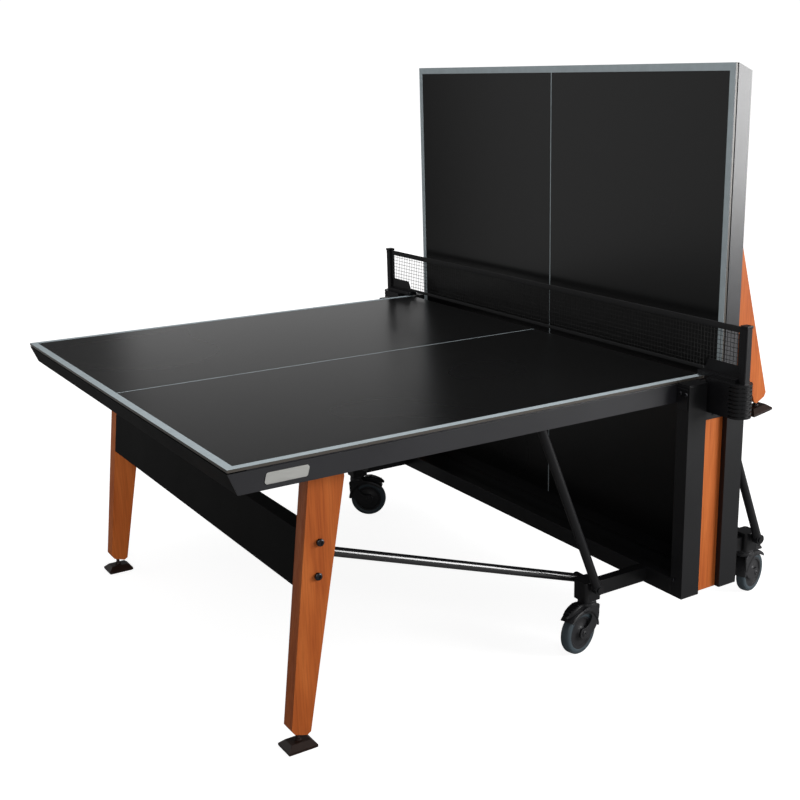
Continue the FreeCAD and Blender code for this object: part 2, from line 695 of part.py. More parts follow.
def add_caster(side, end):
    heading = CASTERS[side, end]
    degrees = math.degrees(math.atan2(heading[1], heading[0]))
    sign_x = -1 if side == "left" else 1
    sign_y = -1 if end == "near" else 1
    for name, make in (("fork", fork), ("wheel", wheel), ("brake_pedal", pedal)):
        shape = make()
        shape.rotate(Vector(0, 0, 0), Vector(0, 0, 1), degrees)
        shape.translate(Vector(sign_x * STEM_X, sign_y * STEM_Y, 0))
        add(f"{side}_{end}_caster_{name}", shape)


# ---- the whole table ---------------------------------------------------------------------
def add_half(side):
    add_side(side, "half", "board", [board()])
    add_side(side, "half", "side_aprons", side_aprons())
    add_side(side, "half", "end_apron", end_apron())
    add_side(side, "half", "underframe", underframe())
    add_side(side, "half", "brackets", brackets())
    add_side(side, "half", "release_bar", release_bar())
    add_side(side, "carriage", "guide_blocks", guide_blocks())
    add_side(side, "strut", "struts", struts())
    add_side(side, "rod", "tie_rods", tie_rods())
    add_side(side, "leg", "skirt", skirt())
    add_side(side, "leg", "leg_bolts", leg_bolts())
    # The left side is turned round, so its near end is at +Y in the side frame.
    ends = ("near", "far") if side == "left" else ("far", "near")
    for end, turn in zip(ends, (lambda s: s, mirrored_y)):
        add_side(side, "leg", f"{end}_leg", [turn(leg())])
        add_side(side, "leg", f"{end}_foot", [turn(foot())])
        add_caster(side, end)


def add_chassis():
    add("uprights", *four_corners(upright()))
    add("crossbars", crossbar(), crossbar().mirror(Vector(0, 0, 0), Vector(1, 0, 0)))
    add("floor_pan", floor_pan())
    add("wood_inlays", *both_ends(inlay()))
    add("column_heads", *both_ends(column_head()))
    add("column_caps", *four_corners(column_cap()))
    add("caster_arms", *four_corners(caster_arm()))
    add("caster_sockets", *four_corners(caster_socket()))
    add("lock_housings", *four_corners(lock_housing()))
    add("chassis_bolts", *chassis_bolts())


def add_net():
    add("net_posts", *both_ends(net_post()))
    add("net_arms", *both_ends(net_arm()))
    add("net_end_plates", *both_ends(end_plate()))
    add("post_covers", *both_ends(post_cover()))
    add("net", *net())
    add("net_tape", *net_tape())


def main():
    os.makedirs("parts", exist_ok=True)
    add_chassis()
    add_net()
    add_half("left")
    add("left_badge", *[place("left", "half", s) for s in badge()])
    add_half("right")
    for node, solids in NODES.items():
        whole = Part.makeCompound(solids) if len(solids) > 1 else solids[0]
        whole.translate(Vector(NET_X, 0, 0))
        whole.exportStep(f"parts/{node}.step")
    print(len(NODES), "nodes, net plane at x =", NET_X)


main()
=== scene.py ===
"""Looks of the folding table tennis table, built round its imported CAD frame. Metres throughout."""
import json
import math

import bmesh
import bpy
from mathutils import Matrix, Vector


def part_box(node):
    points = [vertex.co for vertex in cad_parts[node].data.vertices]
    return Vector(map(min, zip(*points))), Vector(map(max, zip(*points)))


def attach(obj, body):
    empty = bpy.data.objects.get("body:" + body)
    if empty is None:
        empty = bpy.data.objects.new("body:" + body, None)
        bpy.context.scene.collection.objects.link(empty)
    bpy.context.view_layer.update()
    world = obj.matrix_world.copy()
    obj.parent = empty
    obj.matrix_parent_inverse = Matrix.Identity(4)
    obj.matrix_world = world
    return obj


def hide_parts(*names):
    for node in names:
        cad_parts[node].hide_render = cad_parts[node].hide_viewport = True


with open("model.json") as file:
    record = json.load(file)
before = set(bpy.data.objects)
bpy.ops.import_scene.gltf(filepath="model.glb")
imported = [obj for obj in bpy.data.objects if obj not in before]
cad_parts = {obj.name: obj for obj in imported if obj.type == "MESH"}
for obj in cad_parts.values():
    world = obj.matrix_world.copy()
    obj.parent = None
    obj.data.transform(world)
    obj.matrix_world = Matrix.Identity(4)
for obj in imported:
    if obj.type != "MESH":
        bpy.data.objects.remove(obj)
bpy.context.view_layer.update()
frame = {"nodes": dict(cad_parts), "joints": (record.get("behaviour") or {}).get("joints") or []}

# ---- where things are, read from the frame -------------------------------------------------
MM = 0.001
NET_LOW, NET_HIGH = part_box("net")
NET_X = (NET_LOW[0] + NET_HIGH[0]) / 2
TAPE_LOW, TAPE_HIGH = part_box("net_tape")
PLATE_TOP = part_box("net_end_plates")[1][2]
LINE_WIDE = 20 * MM
CENTRE_LINE_WIDE = 3 * MM
PAINT_THICK = 0.3 * MM
SIDES = ("left", "right")
ENDS = ("near", "far")
PLATE_FOOT_Y = 0.756          # where the slanted edge of a net end plate meets the net's foot
WELD_GAP = 0.02 * MM          # the CAD meshes' doubled points are closer than this

BOARD_COLOUR = (0.0045, 0.0045, 0.0047)
EDGE_COLOUR = (0.085, 0.075, 0.065)


# ---- materials ---------------------------------------------------------------------------
class Look:
    """A procedural material: a Principled shader with a few nodes before it."""

    def __init__(self, name, colour, roughness, metallic=0.0, specular=0.5):
        self.material = bpy.data.materials.new(name)
        self.material.use_nodes = True
        self.tree = self.material.node_tree
        self.shader = self.tree.nodes["Principled BSDF"]
        self.shader.inputs["Base Color"].default_value = (*colour, 1)
        self.shader.inputs["Roughness"].default_value = roughness
        self.shader.inputs["Metallic"].default_value = metallic
        self.shader.inputs["Specular IOR Level"].default_value = specular
        self.colour = colour
        self.roughness = roughness

    def node(self, kind, **settings):
        made = self.tree.nodes.new(kind)
        for key, value in settings.items():
            setattr(made, key, value)
        return made

    def link(self, source, target):
        self.tree.links.new(source, target)

    def place(self, stretch):
        """The object's own coordinates, stretched."""
        where = self.node("ShaderNodeTexCoord")
        mapping = self.node("ShaderNodeMapping")
        mapping.inputs["Scale"].default_value = stretch
        self.link(where.outputs["Object"], mapping.inputs["Vector"])
        return mapping.outputs["Vector"]

    def noise(self, scale, detail=3.0, stretch=(1, 1, 1), roughness=0.5, distortion=0.0):
        made = self.node("ShaderNodeTexNoise")
        made.inputs["Scale"].default_value = scale
        made.inputs["Detail"].default_value = detail
        made.inputs["Roughness"].default_value = roughness
        made.inputs["Distortion"].default_value = distortion
        self.link(self.place(stretch), made.inputs["Vector"])
        return made.outputs["Fac"]

    def ramp(self, value, *stops):
        """A value turned into a colour, by stops of (position, colour)."""
        made = self.node("ShaderNodeValToRGB")
        elements = made.color_ramp.elements
        while len(elements) < len(stops):
            elements.new(0.5)
        for element, (position, colour) in zip(elements, stops):
            element.position = position
            element.color = (*colour, 1)
        self.link(value, made.inputs["Fac"])
        return made.outputs["Color"]

    def spread(self, value, low, high):
        """A noise's usual range, 0.3 to 0.7, carried to low to high."""
        made = self.node("ShaderNodeMapRange")
        made.inputs["From Min"].default_value = 0.3
        made.inputs["From Max"].default_value = 0.7
        made.inputs["To Min"].default_value = low
        made.inputs["To Max"].default_value = high
        self.link(value, made.inputs["Value"])
        return made.outputs["Result"]

    def multiply(self, first, second, amount=1.0):
        mix = self.node("ShaderNodeMix", data_type="RGBA", blend_type="MULTIPLY")
        mix.inputs["Factor"].default_value = amount
        self.link(first, mix.inputs["A"])
        self.link(second, mix.inputs["B"])
        return mix.outputs["Result"]

    def bump(self, height, strength, distance):
        made = self.node("ShaderNodeBump")
        made.inputs["Strength"].default_value = strength
        made.inputs["Distance"].default_value = distance
        self.link(height, made.inputs["Height"])
        self.link(made.outputs["Normal"], self.shader.inputs["Normal"])

    def drift(self, value, amount):
        """The colour, made darker and lighter by an amount as a value varies."""
        low = tuple(c * (1 - amount) for c in self.colour)
        high = tuple(c * (1 + amount) for c in self.colour)
        return self.ramp(value, (0.3, low), (0.7, high))

    def vary(self, scale, amount):
        """Colour and roughness drift a little over the surface."""
        fac = self.noise(scale, 4.0)
        self.link(self.drift(fac, amount), self.shader.inputs["Base Color"])
        spread = self.spread(fac, self.roughness * (1 - amount / 2), self.roughness * (1 + amount / 2))
        self.link(spread, self.shader.inputs["Roughness"])


def playing_surface(name, up):
    """Dark laminate with a fine grain on the faces across up, and the board's core along its edges."""
    look = Look(name, BOARD_COLOUR, 0.28, specular=0.35)
    fac = look.noise(1.2, 1.0)
    facing = look.node("ShaderNodeVectorMath", operation="DOT_PRODUCT")
    facing.inputs[1].default_value = up
    look.link(look.node("ShaderNodeTexCoord").outputs["Normal"], facing.inputs[0])
    steep = look.node("ShaderNodeMath", operation="ABSOLUTE")
    look.link(facing.outputs["Value"], steep.inputs[0])
    mix = look.node("ShaderNodeMix", data_type="RGBA")
    mix.inputs["A"].default_value = (*EDGE_COLOUR, 1)
    look.link(steep.outputs["Value"], mix.inputs["Factor"])
    look.link(look.drift(fac, 0.07), mix.inputs["B"])
    look.link(mix.outputs["Result"], look.shader.inputs["Base Color"])
    look.link(look.spread(fac, 0.272, 0.284), look.shader.inputs["Roughness"])
    look.bump(look.noise(1400, 2.0), 0.25, 0.00015)
    return look.material


def line_paint():
    """Pale grey-blue paint that takes the board's grain."""
    look = Look("line_paint", (0.46, 0.53, 0.56), 0.5, specular=0.3)
    look.vary(40.0, 0.05)
    look.bump(look.noise(1400, 2.0), 0.15, 0.0001)
    return look.material


def powder_coat(name, colour, roughness, grain=900, strength=0.35, specular=0.3):
    """Textured paint on steel."""
    look = Look(name, colour, roughness, specular=specular)
    look.vary(6.0, 0.10)
    look.bump(look.noise(grain, 3.0), strength, 0.0003)
    return look.material


def timber():
    """Oiled orange-brown hardwood, its grain along Z."""
    look = Look("timber", (0.50, 0.125, 0.028), 0.5, specular=0.2)
    figure = look.noise(9.0, 5.0, (3.0, 3.0, 0.35), 0.55, 0.6)
    pores = look.noise(260.0, 4.0, (1.0, 1.0, 0.03), 0.6)
    base = look.ramp(
        figure,
        (0.25, (0.42, 0.092, 0.018)),
        (0.5, (0.53, 0.130, 0.026)),
        (0.75, (0.62, 0.170, 0.038)),
    )
    fine = look.ramp(pores, (0.30, (0.72, 0.66, 0.6)), (0.55, (1.0, 1.0, 1.0)))
    look.link(look.multiply(base, fine, 0.8), look.shader.inputs["Base Color"])
    look.link(look.spread(pores, 0.52, 0.38), look.shader.inputs["Roughness"])
    look.bump(pores, 0.25, 0.0004)
    return look.material


def moulded(name, colour, roughness):
    """Moulded plastic or rubber with a faint spark-eroded grain."""
    look = Look(name, colour, roughness, specular=0.35)
    look.vary(30.0, 0.12)
    look.bump(look.noise(1100, 2.0), 0.15, 0.0002)
    return look.material


def woven(name, colour):
    """Close weave for tape and sleeves."""
    look = Look(name, colour, 0.75)
    look.vary(60.0, 0.2)
    look.bump(look.noise(900, 1.0), 0.5, 0.0004)
    return look.material


def brushed(name, colour, roughness):
    """Bare metal, brushed along X."""
    look = Look(name, colour, roughness, metallic=1.0)
    streaks = look.noise(700, 2.0, (0.03, 1.0, 1.0))
    look.link(look.spread(streaks, roughness * 0.8, roughness * 1.3), look.shader.inputs["Roughness"])
    look.bump(streaks, 0.15, 0.0001)
    return look.material


LOOKS = {
    "flat_board": playing_surface("level_board", (0, 0, 1)),
    "upright_board": playing_surface("raised_board", (1, 0, 0)),
    "paint": line_paint(),
    "apron": powder_coat("apron_coat", (0.018, 0.018, 0.021), 0.34, specular=0.6),
    "steel": powder_coat("frame_coat", (0.009, 0.009, 0.010), 0.36, grain=1100, strength=0.2),
    "tube": powder_coat("tube_coat", (0.009, 0.009, 0.010), 0.2, grain=1100, strength=0.05, specular=1.0),
    # Painted shade: a darker, nearly unreflective copy of the apron coat, for the end apron and skirt that
    # face away from the lights.
    "skirt": powder_coat("shaded_skirt_coat", (0.002, 0.002, 0.002), 0.5, grain=1100, strength=0.2, specular=0.05),
    "timber": timber(),
    "plastic": moulded("black_plastic", (0.006, 0.006, 0.007), 0.36),
    "hub": moulded("hub_plastic", (0.020, 0.020, 0.022), 0.42),
    "tyre": moulded("tyre_rubber", (0.050, 0.068, 0.080), 0.45),
    "pad": moulded("foot_rubber", (0.020, 0.009, 0.006), 0.4),
    "net": woven("net_cord", (0.010, 0.010, 0.010)),
    "tape": woven("tape_weave", (0.010, 0.010, 0.011)),
    "bolt": brushed("bolt_steel", (0.05, 0.05, 0.055), 0.35),
    "badge": brushed("badge_plate", (0.66, 0.66, 0.63), 0.45),
}


# ---- making pieces ---------------------------------------------------------------------------
def piece(name, mesh_data, look, body, smooth_deg=35):
    """Makes an object of a mesh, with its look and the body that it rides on."""
    mesh = bpy.data.meshes.new(name)
    mesh_data.normal_update()
    mesh_data.to_mesh(mesh)
    mesh_data.free()
    made = bpy.data.objects.new(name, mesh)
    bpy.context.collection.objects.link(made)
    mesh.materials.append(LOOKS[look])
    smooth(made, smooth_deg)
    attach(made, body)
    return made


def smooth(made, degrees):
    """Shades a piece smooth, apart from edges sharper than an angle."""
    made.data.polygons.foreach_set("use_smooth", [True] * len(made.data.polygons))
    made.data.set_sharp_from_angle(angle=math.radians(degrees))


def rounded(made, width, segments=2, degrees=35):
    """Rounds the edges that are sharper than an angle."""
    bevel = made.modifiers.new("edges", "BEVEL")
    bevel.width = width
    bevel.segments = segments
    bevel.limit_method = "ANGLE"
    bevel.angle_limit = math.radians(degrees)
    bevel.harden_normals = True


def dress(node, look, edge):
    """A CAD node keeps its shape and gets its material and rounded edges."""
    made = frame["nodes"][node]
    made.data.materials.clear()
    made.data.materials.append(LOOKS[look])
    if edge:
        weld = made.modifiers.new("weld", "WELD")
        weld.merge_threshold = WELD_GAP
        rounded(made, edge)


def block(mesh_data, low, high):
    """A box between two corners."""
    size = Vector(high) - Vector(low)
    middle = (Vector(high) + Vector(low)) / 2
    matrix = Matrix.Translation(middle) @ Matrix.Diagonal((*size, 1))
    bmesh.ops.create_cube(mesh_data, size=1, matrix=matrix)


# ---- the table's own pieces --------------------------------------------------------------------
def painted_lines(side):
    """The lines are a skin of paint on the board: side lines, end line and centre line."""
    low, high = (Vector(v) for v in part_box(f"{side}_board"))
    level = side == "left"
    long_axis = 0 if level else 2
    up_axis = 2 if level else 0
    surface = high[2] if level else low[0]
    inner, outer = (high[0], low[0]) if level else (low[2], high[2])
    inward = 1 if outer < inner else -1
    half_wide = high[1]

    def strip(mesh_data, long_from, long_to, y_from, y_to):
        corner_a, corner_b = Vector((0, y_from, 0)), Vector((0, y_to, 0))
        corner_a[long_axis], corner_b[long_axis] = sorted((long_from, long_to))
        lift = PAINT_THICK if level else -PAINT_THICK
        corner_a[up_axis], corner_b[up_axis] = sorted((surface, surface + lift))
        block(mesh_data, corner_a, corner_b)

    mesh_data = bmesh.new()
    for sign in (-1, 1):
        y_pair = sorted((sign * half_wide, sign * (half_wide - LINE_WIDE)))
        strip(mesh_data, inner, outer, *y_pair)
    inside = half_wide - LINE_WIDE
    strip(mesh_data, outer, outer + inward * LINE_WIDE, -inside, inside)
    half_line = CENTRE_LINE_WIDE / 2
    strip(mesh_data, inner, outer + inward * LINE_WIDE, -half_line, half_line)
    piece(f"{side}_lines", mesh_data, "paint", f"{side}_half")


def lattice_net():
    """The net as real cords: a square mesh with a knot at each crossing."""
    pitch = 12.0 * MM
    radius = 0.75 * MM
    low_y, high_y = NET_LOW[1], NET_HIGH[1]
    top, bottom = NET_HIGH[2], NET_LOW[2]
    rows = int((top - bottom) / pitch)
    columns = int((high_y - low_y) / pitch)
    ys = [low_y + (i + 0.5) * (high_y - low_y) / columns for i in range(columns)]
    zs = [top - (k + 0.5) * (top - bottom) / rows for k in range(rows)]
    mesh_data = bmesh.new()
    total = 0.0
    for y in ys:
        start = Vector((NET_X, y, net_foot(y)))
        total += cord_stick(mesh_data, start, Vector((NET_X, y, top)), radius)
    for z in zs:
        reach = high_y if z > PLATE_TOP else PLATE_FOOT_Y
        total += cord_stick(mesh_data, Vector((NET_X, -reach, z)), Vector((NET_X, reach, z)), radius)
    for y in ys:
        for z in zs:
            if z > net_foot(y):
                matrix = Matrix.Translation((NET_X, y, z)) @ Matrix.Scale(1.5, 4)
                bmesh.ops.create_icosphere(mesh_data, subdivisions=1, radius=radius, matrix=matrix)
    made = piece("net_mesh", mesh_data, "net", "chassis", smooth_deg=60)
    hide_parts("net")


def net_foot(y):
    """Where the net's lower edge is: above the end plates near the posts."""
    return NET_LOW[2] if abs(y) < PLATE_FOOT_Y else PLATE_TOP


def cord_stick(mesh_data, start, end, radius):
    """A thin cord between two points. Returns its length."""
    line = end - start
    turn = line.to_track_quat("Z", "Y").to_matrix().to_4x4()
    matrix = Matrix.Translation((start + end) / 2) @ turn
    sizes = {"radius1": radius, "radius2": radius, "depth": line.length}
    bmesh.ops.create_cone(mesh_data, cap_ends=True, segments=5, matrix=matrix, **sizes)
    return line.length


def folded_strip(name, half_long, low, high, thick):
    """A woven strip along the net with rounded long edges, from -half_long to half_long along Y."""
    mesh_data = bmesh.new()
    half = thick / 2
    profile = []
    for i in range(10):
        angle = math.pi * i / 9
        profile.append((half * math.cos(angle), high - half + half * math.sin(angle)))
    for i in range(10):
        angle = math.pi + math.pi * i / 9
        profile.append((half * math.cos(angle), low + half + half * math.sin(angle)))
    rings = []
    for y in (-half_long, half_long):
        rings.append([mesh_data.verts.new((NET_X + x, y, z)) for x, z in profile])
    join_rings(mesh_data, rings)
    strip = piece(name, mesh_data, "tape", "chassis")
    return strip


def net_bands():
    """The tape over the top cord, the hem along the lower edge and a sleeve at each post."""
    tape = folded_strip("net_band", TAPE_HIGH[1], TAPE_LOW[2], TAPE_HIGH[2], 3.0 * MM)
    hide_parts("net_tape")
    folded_strip("net_hem", PLATE_FOOT_Y, NET_LOW[2], NET_LOW[2] + 10 * MM, 2.0 * MM)
    wide, thick = 12 * MM, 1.3 * MM
    for end, sign in zip(ENDS, (-1, 1)):
        mesh_data = bmesh.new()
        ys = sorted((sign * TAPE_HIGH[1], sign * (TAPE_HIGH[1] - wide)))
        block(mesh_data, (NET_X - thick, ys[0], PLATE_TOP), (NET_X + thick, ys[1], TAPE_LOW[2]))
        sleeve = piece(f"net_sleeve_{end}", mesh_data, "tape", "chassis")


def post_caps():
    """A moulded cap on each net post, 1 mm proud of it all round."""
    low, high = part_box("net_posts")
    proud = 1 * MM
    skirt = 6 * MM
    thick = 1.5 * MM
    half_x = (high[0] - low[0]) / 2 + proud
    mesh_data = bmesh.new()
    posts = islands("net_posts")
    for post_low, post_high in (posts[0], posts[-1]):
        foot = (NET_X - half_x, post_low[1] - proud, high[2] - skirt)
        block(mesh_data, foot, (NET_X + half_x, post_high[1] + proud, high[2] + thick))
    rounded(piece("net_post_caps", mesh_data, "plastic", "chassis"), 2.0 * MM, 3)


# ---- fasteners ---------------------------------------------------------------------------------
def islands(node):
    """The box of each separate solid of a CAD node, in the order of its middle's Y, then Z."""
    mesh = frame["nodes"][node].data
    mesh_data = bmesh.new()
    mesh_data.from_mesh(mesh)
    bmesh.ops.remove_doubles(mesh_data, verts=mesh_data.verts, dist=WELD_GAP)
    left = set(mesh_data.verts)
    boxes = []
    while left:
        stack = [left.pop()]
        found = list(stack)
        while stack:
            for edge in stack.pop().link_edges:
                for vert in edge.verts:
                    if vert in left:
                        left.remove(vert)
                        stack.append(vert)
                        found.append(vert)
        low = Vector([min(v.co[k] for v in found) for k in range(3)])
        high = Vector([max(v.co[k] for v in found) for k in range(3)])
        boxes.append((low, high))
    mesh_data.free()
    return sorted(boxes, key=lambda b: tuple((b[0] + b[1])[1:]))


def socket_head(mesh_data, seat, axis, radius, high):
    """A button head with a hexagonal socket, standing on its seat."""
    profile = [(radius, 0.0), (radius, high * 0.35), (radius * 0.86, high * 0.78), (radius * 0.6, high)]
    socket_radius = radius * 0.45
    socket_floor = high * 0.25
    turn = Vector(axis).to_track_quat("Z", "Y").to_matrix()
    steps = 24
    angles = [2 * math.pi * i / steps for i in range(steps)]

    def ring(radii, z):
        spots = [Vector((r * math.cos(angle), r * math.sin(angle), z)) for r, angle in zip(radii, angles)]
        return [mesh_data.verts.new(Vector(seat) + turn @ spot) for spot in spots]

    def six_sided(angle):
        part = (angle + math.pi / 6) % (math.pi / 3) - math.pi / 6
        return socket_radius * math.cos(math.pi / 6) / math.cos(part)

    rings = [ring([r] * steps, z) for r, z in profile]
    socket = [six_sided(angle) for angle in angles]
    rings.append(ring(socket, high))
    rings.append(ring(socket, socket_floor))
    join_rings(mesh_data, rings)


def join_rings(mesh_data, rings):
    """Skins a stack of equal rings and closes both ends."""
    for below, above in zip(rings, rings[1:]):
        count = len(below)
        for i in range(count):
            j = (i + 1) % count
            mesh_data.faces.new((below[i], below[j], above[j], above[i]))
    mesh_data.faces.new(rings[0][::-1])
    mesh_data.faces.new(rings[-1])
    bmesh.ops.recalc_face_normals(mesh_data, faces=mesh_data.faces)


def leg_bolt_heads(side):
    """A socket head over each leg bolt. The longer solids are the tie rods' pins, and have none."""
    longest_bolt = 6 * MM
    mesh_data = bmesh.new()
    for low, high in islands(f"{side}_leg_bolts"):
        if high[1] - low[1] > longest_bolt:
            continue
        middle = (low + high) / 2
        outward = 1 if middle[1] > 0 else -1
        seat = Vector((middle[0], high[1] if outward > 0 else low[1], middle[2]))
        socket_head(mesh_data, seat, (0, outward, 0), 9.2 * MM, 3 * MM)
    piece(f"{side}_leg_bolt_heads", mesh_data, "bolt", f"{side}_legs")


def column_screws():
    """A screw through each column head, and the socket heads over the latch bolts."""
    head_high = 2.5 * MM
    mesh_data = bmesh.new()
    columns_low, columns_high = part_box("column_heads")
    screw_z = columns_low[2] + 14 * MM
    for sign in (-1, 1):
        seat = (NET_X, sign * columns_high[1], screw_z)
        socket_head(mesh_data, seat, (0, sign, 0), 4.5 * MM, head_high)
    for low, high in islands("chassis_bolts"):
        middle = (low + high) / 2
        outward = 1 if middle[0] > NET_X else -1
        seat = (high[0] if outward > 0 else low[0], middle[1], middle[2])
        socket_head(mesh_data, seat, (outward, 0, 0), 5.2 * MM, head_high)
    piece("column_screws", mesh_data, "bolt", "chassis")


# ---- casters: drawn with the stem at the origin, trailing along +X --------------------------------
TRAIL = 38 * MM
WHEEL_RADIUS = 62.5 * MM
CHEEK_Y = 18 * MM
CHEEK_THICK = 5 * MM


def turned(mesh_data, profile, place, steps=48):
    """A closed profile of (radius, height) points, turned round the Z axis of a place."""
    loops = []
    for i in range(steps):
        angle = 2 * math.pi * i / steps
        across = Vector((math.cos(angle), math.sin(angle), 0))
        loops.append([mesh_data.verts.new(place @ (across * r + Vector((0, 0, z)))) for r, z in profile])
    count = len(profile)
    for i in range(steps):
        here, after = loops[i], loops[(i + 1) % steps]
        for k in range(count):
            m = (k + 1) % count
            corners = [here[k], after[k], after[m], here[m]]
            distinct = [v for n, v in enumerate(corners) if v not in corners[:n]]
            mesh_data.faces.new(distinct)
    bmesh.ops.remove_doubles(mesh_data, verts=mesh_data.verts, dist=0.001 * MM)
    bmesh.ops.recalc_face_normals(mesh_data, faces=mesh_data.faces)


def smooth_loop(points, steps=6):
    """A closed curve through points, as a list of points on it."""
    loop = []
    count = len(points)
    for i in range(count):
        a, b, c, d = (Vector(points[(i + k) % count]) for k in (-1, 0, 1, 2))
        for k in range(steps):
            t = k / steps
            square = (2 * a - 5 * b + 4 * c - d) * t ** 2
            cube = (3 * b - a - 3 * c + d) * t ** 3
            loop.append(0.5 * (2 * b + (c - a) * t + square + cube))
    return loop


def slab(mesh_data, outline, y_from, y_to):
    """An outline of (x, z) points, carried along Y."""
    rings = [[mesh_data.verts.new((x, y, z)) for x, z in outline] for y in (y_from, y_to)]
    join_rings(mesh_data, rings)


AXLE_PLACE = Matrix.Translation((TRAIL, 0, WHEEL_RADIUS)) @ Matrix.Rotation(math.pi / 2, 4, "X")
TYRE_PROFILE = [
    (46.5, -13.5), (50.0, -14.8), (55.0, -14.8), (59.5, -12.8), (61.9, -9.0), (62.5, -4.0),
    (62.5, 4.0), (61.9, 9.0), (59.5, 12.8), (55.0, 14.8), (50.0, 14.8), (46.5, 13.5),
]
HUB_PROFILE = [
    (7.0, -15.5), (15.0, -15.5), (17.0, -13.0), (20.0, -11.0), (38.0, -10.0), (41.0, -13.8), (46.4, -13.8),
    (46.4, 13.8), (41.0, 13.8), (38.0, 10.0), (20.0, 11.0), (17.0, 13.0), (15.0, 15.5), (7.0, 15.5),
]
COLLAR_PROFILE = [
    (10.0, 182.0), (10.0, 150.6), (24.0, 150.6), (26.0, 149.0), (26.0, 144.5), (24.5, 143.5), (24.5, 141.5),
    (26.0, 140.5), (27.0, 137.0), (27.0, 131.0), (24.0, 129.0), (0.5, 129.0), (0.5, 182.0),
]
CHEEK_OUTLINE = [
    (-25, 132), (-28, 112), (-26, 90), (-15, 67), (6, 51), (28, 46), (42, 47), (53, 56), (53, 69), (43, 78),
    (29, 77), (16, 84), (6, 96), (6, 108), (20, 119), (40, 123), (40, 132), (20, 134),
]
GUARD_PROFILE = [
    (57.5, -23.0), (65.0, -23.0), (68.0, -21.5), (69.8, -17.0), (70.6, 0.0), (69.8, 17.0), (68.0, 21.5),
    (65.0, 23.0), (57.5, 23.0), (57.5, 19.5), (64.0, 19.2), (66.3, 0.0), (64.0, -19.2), (57.5, -19.5),
]


def in_metres(points):
    """Points given in millimetres, in metres."""
    return [tuple(v * MM for v in point) for point in points]


def caster_wheel(name, body, place):
    """A rounded tyre on a dished hub."""
    tyre = bmesh.new()
    turned(tyre, in_metres(TYRE_PROFILE), AXLE_PLACE, 64)
    made = piece(f"{name}_tyre", tyre, "tyre", body)
    put(made, place)
    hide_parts(f"{name}_wheel")
    hub = bmesh.new()
    turned(hub, in_metres(HUB_PROFILE), AXLE_PLACE, 64)
    put(piece(f"{name}_hub", hub, "hub", body), place)


def put(made, place):
    """Sets a piece's place in its mesh."""
    made.data.transform(place)


def guard(mesh_data):
    """The cover over the wheel's top, a crowned band with side flanges."""
    start, stop, steps = 42, 176, 40        # degrees round the wheel from +X, and stations
    inner = 62.9 * MM
    middle = Vector((TRAIL, 0, WHEEL_RADIUS))
    rings = []
    for i in range(steps + 1):
        angle = math.radians(start + (stop - start) * i / steps)
        out = Vector((math.cos(angle), 0, math.sin(angle)))
        taper = min(1.0, 0.35 + 5 * min(i, steps - i) / steps)
        ring = []
        for r, y in in_metres(GUARD_PROFILE):
            depth = inner + (r - inner) * taper if r < inner else r
            ring.append(mesh_data.verts.new(middle + out * depth + Vector((0, y, 0))))
        rings.append(ring)
    join_rings(mesh_data, rings)


def caster_fork(name, body, place):
    """The yoke: collar, guard, two cheeks and the axle's heads."""
    mesh_data = bmesh.new()
    turned(mesh_data, in_metres(COLLAR_PROFILE), Matrix.Identity(4), 40)
    guard(mesh_data)
    outline = smooth_loop(in_metres(CHEEK_OUTLINE))
    for y in (-CHEEK_Y - CHEEK_THICK, CHEEK_Y):
        slab(mesh_data, outline, y, y + CHEEK_THICK)
    for sign in (-1, 1):
        seat = Vector((TRAIL, sign * (CHEEK_Y + CHEEK_THICK), WHEEL_RADIUS))
        socket_head(mesh_data, seat, (0, sign, 0), 8 * MM, 2.5 * MM)
    made = piece(f"{name}_yoke", mesh_data, "hub", body)
    rounded(made, 1.6 * MM, 3, 50)
    put(made, place)
    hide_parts(f"{name}_fork")


def caster_pedal(name, body, place):
    """A tongue that narrows to a chisel tip, with five grip ribs on its top."""
    corner = 3.5
    stations = [                  # x, half width, underside, top
        (26, 13, 131, 144), (34, 15.5, 131.5, 147), (48, 16.5, 132, 147.5), (62, 16.5, 130, 144),
        (78, 15, 126, 138), (90, 12, 122.5, 131), (97, 8, 120.5, 126),
    ]
    mesh_data = bmesh.new()
    rings = []
    for x, half, low, high in stations:
        ring = [(-half, low), (half, low), (half, high - corner), (half - corner, high)]
        ring += [(corner - half, high), (-half, high - corner)]
        rings.append([mesh_data.verts.new((x * MM, y * MM, z * MM)) for y, z in ring])
    join_rings(mesh_data, rings)
    for i in range(5):
        x = 52 + i * 8.5
        height = 147.2 - (x - 52) * 0.36
        low = Vector((x - 1.6, -12 + i * 0.8, height - 3)) * MM
        block(mesh_data, low, Vector((x + 1.6, 12 - i * 0.8, height + 1.2)) * MM)
    made = piece(f"{name}_pedal", mesh_data, "plastic", body)
    rounded(made, 1.2 * MM, 2, 25)
    put(made, place)
    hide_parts(f"{name}_brake_pedal")


def casters():
    """Each caster is turned the way its axle lies from its stem."""
    hinges = [joint for joint in frame["joints"] if joint["type"] == "hinge"]
    spots = {hinge["name"]: Vector(hinge["pos_m"]) for hinge in hinges}
    for side in SIDES:
        for end in ENDS:
            name = f"{side}_{end}_caster"
            stem, axle = spots[f"{name}_swivel"], spots[f"{name}_roll"]
            heading = math.atan2(axle[1] - stem[1], axle[0] - stem[0])
            place = Matrix.Translation((stem[0], stem[1], 0)) @ Matrix.Rotation(heading, 4, "Z")
            caster_wheel(name, f"{name}_wheel", place)
            caster_fork(name, f"{name}_fork", place)
            caster_pedal(name, f"{name}_brake", place)


